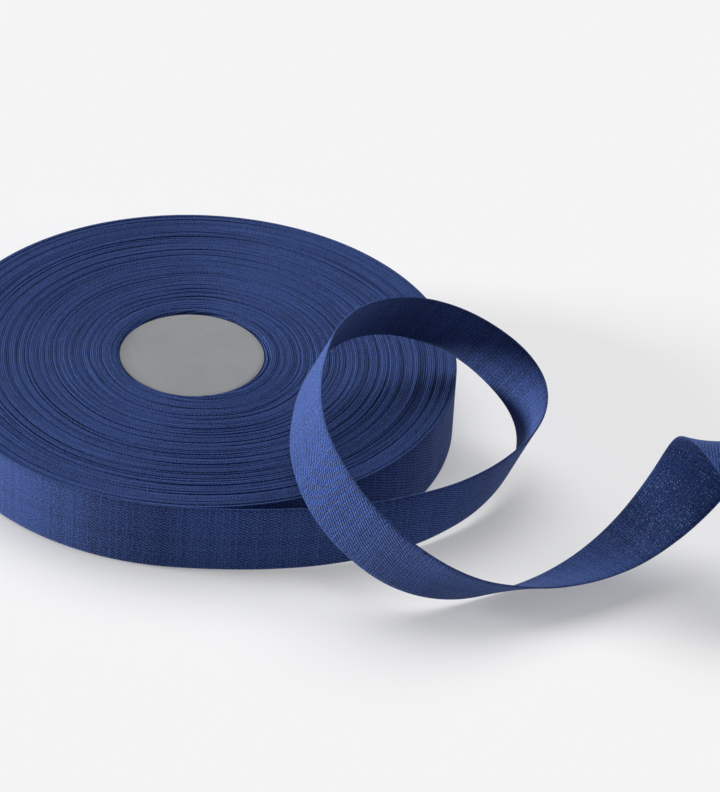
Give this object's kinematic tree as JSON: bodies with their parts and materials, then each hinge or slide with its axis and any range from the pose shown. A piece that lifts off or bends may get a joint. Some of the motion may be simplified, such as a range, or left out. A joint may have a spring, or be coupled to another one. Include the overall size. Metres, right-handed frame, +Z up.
{
  "type": "roll of ribbon",
  "caption": "Flat roll of plain-woven cotton ribbon lying on its side, with a bare round paper sticker and a loose end that curls over the rim.",
  "frame": {"origin": "middle of the roll's underside, on the surface that it lies on", "axes": "+Z up out of the roll's flat top, +X to the side where the loose end runs off, -Y to the front where it leaves the roll"},
  "size_m": [0.1943, 0.1297, 0.0433],
  "materials": {
    "ribbon_cotton": "matt wound cotton ribbon, selvedges showing",
    "loose_ribbon_cotton": "matt plain-woven cotton ribbon",
    "sticker_paper": "matt uncoated grey paper"
  },
  "bodies": {
    "root": {"roll": "ribbon_cotton", "loose_end": "loose_ribbon_cotton", "sticker": "sticker_paper"}
  },
  "joints": []
}
